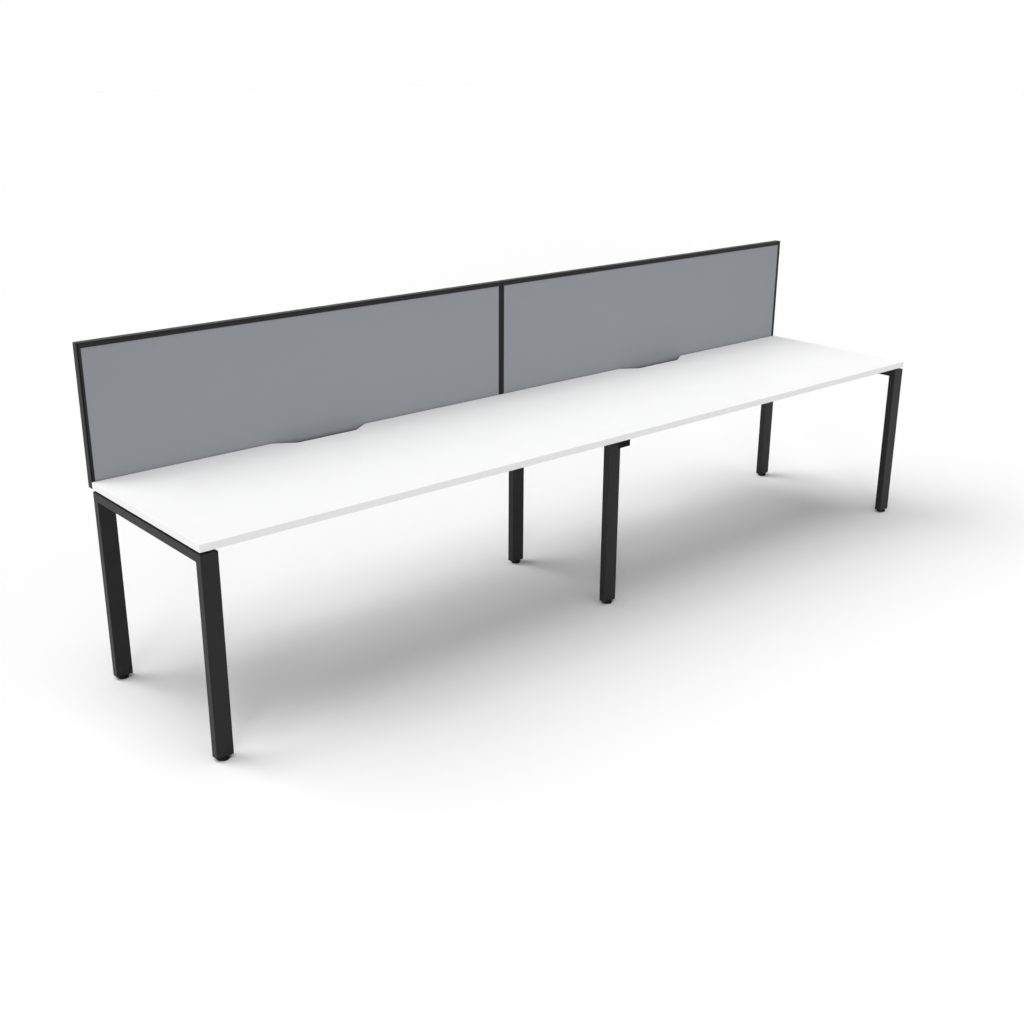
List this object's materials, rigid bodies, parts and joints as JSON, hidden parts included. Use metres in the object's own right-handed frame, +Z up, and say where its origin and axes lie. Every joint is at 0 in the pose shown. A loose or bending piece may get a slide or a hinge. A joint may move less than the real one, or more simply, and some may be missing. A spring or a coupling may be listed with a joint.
{
  "type": "single-sided office workstation",
  "caption": "Straight bench desk with white worktops side by side on black rectangular-tube legs, and grey fabric screens in thin black frames along the rear edge.",
  "frame": {"origin": "on the floor, under the middle of the whole outline", "axes": "+X along the desk from the left worktop to the right one, -Y to the side where people sit, +Y to the screens, +Z up"},
  "size_m": [3.6, 0.785, 1.201],
  "materials": {
    "worktop_melamine": "satin white melamine facing on particle board",
    "edging_abs": "satin white edging",
    "black_powder_coat": "fine-textured matt black powder coat on steel",
    "black_frame_aluminium": "matt black coated extrusion",
    "grey_fabric": "plain woven mid-grey cloth",
    "screen_core_board": "raw soft fibreboard",
    "black_plastic": "moulded matt black",
    "zinc_steel": "bright zinc plate"
  },
  "bodies": {
    "desk": {"beam_lock_screws": "zinc_steel", "beam_spigots": "black_powder_coat", "foot_nuts": "zinc_steel", "left_crossbar": "black_powder_coat", "left_front_beam": "black_powder_coat", "left_front_leg": "black_powder_coat", "left_rear_beam": "black_powder_coat", "left_rear_leg": "black_powder_coat", "left_screen_bottom_rail": "black_frame_aluminium", "left_screen_brackets": "black_powder_coat", "left_screen_core": "screen_core_board", "left_screen_front_fabric": "grey_fabric", "left_screen_left_post": "black_frame_aluminium", "left_screen_pins": "zinc_steel", "left_screen_rear_fabric": "grey_fabric", "left_screen_right_post": "black_frame_aluminium", "left_screen_top_rail": "black_frame_aluminium", "left_top": "worktop_melamine", "left_top_edging": "edging_abs", "left_top_screws": "zinc_steel", "left_top_spacers": "black_plastic", "leg_plugs": "black_plastic", "middle_bar_front_cap": "black_plastic", "middle_bar_rear_cap": "black_plastic", "middle_crossbar": "black_powder_coat", "middle_front_leg": "black_powder_coat", "middle_rear_leg": "black_powder_coat", "right_crossbar": "black_powder_coat", "right_front_beam": "black_powder_coat", "right_front_leg": "black_powder_coat", "right_rear_beam": "black_powder_coat", "right_rear_leg": "black_powder_coat", "right_screen_bottom_rail": "black_frame_aluminium", "right_screen_brackets": "black_powder_coat", "right_screen_core": "screen_core_board", "right_screen_front_fabric": "grey_fabric", "right_screen_left_post": "black_frame_aluminium", "right_screen_pins": "zinc_steel", "right_screen_rear_fabric": "grey_fabric", "right_screen_right_post": "black_frame_aluminium", "right_screen_top_rail": "black_frame_aluminium", "right_top": "worktop_melamine", "right_top_edging": "edging_abs", "right_top_screws": "zinc_steel", "right_top_spacers": "black_plastic", "screen_bracket_screws": "zinc_steel"},
    "left_front_pad": {"left_front_foot_pad": "black_plastic"},
    "left_front_stem": {"left_front_foot_stem": "zinc_steel"},
    "left_rear_pad": {"left_rear_foot_pad": "black_plastic"},
    "left_rear_stem": {"left_rear_foot_stem": "zinc_steel"},
    "middle_front_pad": {"middle_front_foot_pad": "black_plastic"},
    "middle_front_stem": {"middle_front_foot_stem": "zinc_steel"},
    "middle_rear_pad": {"middle_rear_foot_pad": "black_plastic"},
    "middle_rear_stem": {"middle_rear_foot_stem": "zinc_steel"},
    "right_front_pad": {"right_front_foot_pad": "black_plastic"},
    "right_front_stem": {"right_front_foot_stem": "zinc_steel"},
    "right_rear_pad": {"right_rear_foot_pad": "black_plastic"},
    "right_rear_stem": {"right_rear_foot_stem": "zinc_steel"}
  },
  "joints": [
    {"name": "left_front_foot_adjust", "type": "slide", "parent": "desk", "child": "left_front_pad", "axis": [0, 0, -1], "range_m": [0, 0.02]},
    {"name": "left_front_foot_turn", "type": "hinge", "parent": "left_front_pad", "child": "left_front_stem", "pos_m": [-1.77, -0.3735, 0.01], "axis": [0, 0, -1], "range_deg": [0, 5760]},
    {"name": "left_rear_foot_adjust", "type": "slide", "parent": "desk", "child": "left_rear_pad", "axis": [0, 0, -1], "range_m": [0, 0.02]},
    {"name": "left_rear_foot_turn", "type": "hinge", "parent": "left_rear_pad", "child": "left_rear_stem", "pos_m": [-1.77, 0.3465, 0.01], "axis": [0, 0, -1], "range_deg": [0, 5760]},
    {"name": "middle_front_foot_adjust", "type": "slide", "parent": "desk", "child": "middle_front_pad", "axis": [0, 0, -1], "range_m": [0, 0.02]},
    {"name": "middle_front_foot_turn", "type": "hinge", "parent": "middle_front_pad", "child": "middle_front_stem", "pos_m": [0, -0.2935, 0.01], "axis": [0, 0, -1], "range_deg": [0, 5760]},
    {"name": "middle_rear_foot_adjust", "type": "slide", "parent": "desk", "child": "middle_rear_pad", "axis": [0, 0, -1], "range_m": [0, 0.02]},
    {"name": "middle_rear_foot_turn", "type": "hinge", "parent": "middle_rear_pad", "child": "middle_rear_stem", "pos_m": [0, 0.2665, 0.01], "axis": [0, 0, -1], "range_deg": [0, 5760]},
    {"name": "right_front_foot_adjust", "type": "slide", "parent": "desk", "child": "right_front_pad", "axis": [0, 0, -1], "range_m": [0, 0.02]},
    {"name": "right_front_foot_turn", "type": "hinge", "parent": "right_front_pad", "child": "right_front_stem", "pos_m": [1.77, -0.3735, 0.01], "axis": [0, 0, -1], "range_deg": [0, 5760]},
    {"name": "right_rear_foot_adjust", "type": "slide", "parent": "desk", "child": "right_rear_pad", "axis": [0, 0, -1], "range_m": [0, 0.02]},
    {"name": "right_rear_foot_turn", "type": "hinge", "parent": "right_rear_pad", "child": "right_rear_stem", "pos_m": [1.77, 0.3465, 0.01], "axis": [0, 0, -1], "range_deg": [0, 5760]}
  ],
  "couplings": [
    {"joint": "left_front_foot_turn", "follows": "left_front_foot_adjust", "rad_per_m": 5026.5},
    {"joint": "left_rear_foot_turn", "follows": "left_rear_foot_adjust", "rad_per_m": 5026.5},
    {"joint": "middle_front_foot_turn", "follows": "middle_front_foot_adjust", "rad_per_m": 5026.5},
    {"joint": "middle_rear_foot_turn", "follows": "middle_rear_foot_adjust", "rad_per_m": 5026.5},
    {"joint": "right_front_foot_turn", "follows": "right_front_foot_adjust", "rad_per_m": 5026.5},
    {"joint": "right_rear_foot_turn", "follows": "right_rear_foot_adjust", "rad_per_m": 5026.5}
  ]
}
